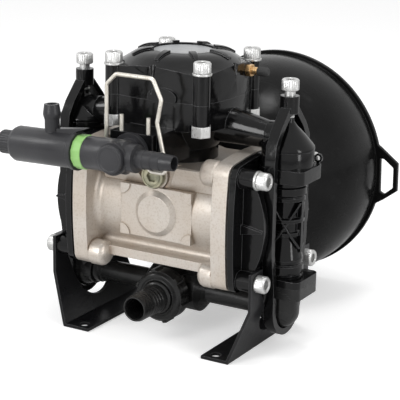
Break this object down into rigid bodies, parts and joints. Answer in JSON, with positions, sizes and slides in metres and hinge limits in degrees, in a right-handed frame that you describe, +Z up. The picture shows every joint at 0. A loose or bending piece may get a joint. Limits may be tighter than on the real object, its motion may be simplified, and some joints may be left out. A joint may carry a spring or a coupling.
{
  "type": "piston diaphragm pump",
  "caption": "Twin piston diaphragm pump with cast crankcase, black heads and air damper, relief valve, hose tail, bent sheet feet and a bowl guard round the splined shaft.",
  "frame": {"origin": "on the ground, at the middle of the four foot holes, under the middle of the crankcase", "axes": "+Z up; +X along the pistons to the right head, seen from the relief valve; +Y along the shaft to its splined end and the guard"},
  "size_m": [0.273, 0.3325, 0.2728],
  "materials": {
    "cast_aluminium": "satin cast",
    "machined_aluminium": "satin",
    "black_gloss": "gloss",
    "black_satin_sheet": "satin",
    "black_guard": "semi-gloss",
    "black_plastic": "satin",
    "grey_plastic": "matt",
    "green_plastic": "satin",
    "zinc": "zinc plated",
    "yellow_zinc": "yellow zinc plated",
    "steel": "ground",
    "stainless_wire": "drawn",
    "brass": "turned",
    "rubber": "matt",
    "disc_grey": "satin",
    "white_plastic": "satin"
  },
  "bodies": {
    "pump_body": {"crankcase": "cast_aluminium", "rear_cover": "cast_aluminium", "front_bearing": "steel", "rear_bearing": "steel", "shaft_seal": "rubber", "cylinder_liners": "steel", "left_head": "black_gloss", "right_head": "black_gloss", "head_screws": "zinc", "washers": "zinc", "left_foot": "black_satin_sheet", "right_foot": "black_satin_sheet", "left_yoke": "black_gloss", "right_yoke": "black_gloss", "yoke_screws": "zinc", "left_delivery_elbow": "black_gloss", "right_delivery_elbow": "black_gloss", "delivery_manifold": "black_gloss", "damper_membrane": "rubber", "damper_cap": "black_gloss", "cap_disc": "disc_grey", "damper_screws": "zinc", "damper_nuts": "zinc", "air_valve": "brass", "air_valve_cap": "rubber", "oil_plug": "yellow_zinc", "suction_manifold": "black_plastic", "left_suction_elbow": "black_plastic", "right_suction_elbow": "black_plastic", "union_nut": "black_plastic", "hose_tail": "black_plastic", "shaft_guard": "black_guard", "guard_screws": "zinc", "valve_seats": "white_plastic", "valve_cages": "white_plastic", "relief_body": "grey_plastic", "relief_tee": "grey_plastic", "tee_plug": "grey_plastic", "green_ring": "green_plastic"},
    "shaft": {"drive_shaft": "steel", "bearing_inner_rings": "steel", "eccentric_ring": "steel"},
    "piston_set": {"piston_yoke": "steel", "pistons": "machined_aluminium", "clamp_discs": "machined_aluminium", "disc_screws": "steel", "left_diaphragm": "rubber", "right_diaphragm": "rubber"},
    "relief_closer": {"relief_poppet": "stainless_wire", "relief_spring": "stainless_wire"},
    "knob": {"pressure_knob": "grey_plastic"},
    "fork": {"retaining_fork": "stainless_wire"},
    "left_suction_valve": {"left_suction_plate": "white_plastic", "left_suction_spring": "stainless_wire"},
    "left_delivery_valve": {"left_delivery_plate": "white_plastic", "left_delivery_spring": "stainless_wire"},
    "right_suction_valve": {"right_suction_plate": "white_plastic", "right_suction_spring": "stainless_wire"},
    "right_delivery_valve": {"right_delivery_plate": "white_plastic", "right_delivery_spring": "stainless_wire"}
  },
  "joints": [
    {"name": "shaft_turn", "type": "hinge", "parent": "pump_body", "child": "shaft", "pos_m": [0, 0, 0.123], "axis": [0, 1, 0], "continuous": true},
    {"name": "piston_stroke", "type": "slide", "parent": "pump_body", "child": "piston_set", "axis": [1, 0, 0], "range_m": [-0.004, 0.004], "deforming": ["left_diaphragm", "right_diaphragm"]},
    {"name": "left_suction_valve_lift", "type": "slide", "parent": "pump_body", "child": "left_suction_valve", "axis": [0, 0, 1], "range_m": [0, 0.003], "stiffness_N_per_m": 60, "deforming": ["left_suction_spring"]},
    {"name": "left_delivery_valve_lift", "type": "slide", "parent": "pump_body", "child": "left_delivery_valve", "axis": [0, 0, 1], "range_m": [0, 0.003], "stiffness_N_per_m": 60, "deforming": ["left_delivery_spring"]},
    {"name": "right_suction_valve_lift", "type": "slide", "parent": "pump_body", "child": "right_suction_valve", "axis": [0, 0, 1], "range_m": [0, 0.003], "stiffness_N_per_m": 60, "deforming": ["right_suction_spring"]},
    {"name": "right_delivery_valve_lift", "type": "slide", "parent": "pump_body", "child": "right_delivery_valve", "axis": [0, 0, 1], "range_m": [0, 0.003], "stiffness_N_per_m": 60, "deforming": ["right_delivery_spring"]},
    {"name": "relief_lift", "type": "slide", "parent": "pump_body", "child": "relief_closer", "axis": [-0.9996, 0, -0.0279], "range_m": [0, 0.003], "stiffness_N_per_m": 800, "deforming": ["relief_spring"]},
    {"name": "pressure_adjust", "type": "hinge", "parent": "pump_body", "child": "knob", "pos_m": [-0.11995, -0.108, 0.18665], "axis": [0.9996, 0, 0.0279], "range_deg": [0, 360]},
    {"name": "fork_pull", "type": "slide", "parent": "pump_body", "child": "fork", "axis": [0, 0, -1], "range_m": [0, 0.04]}
  ]
}
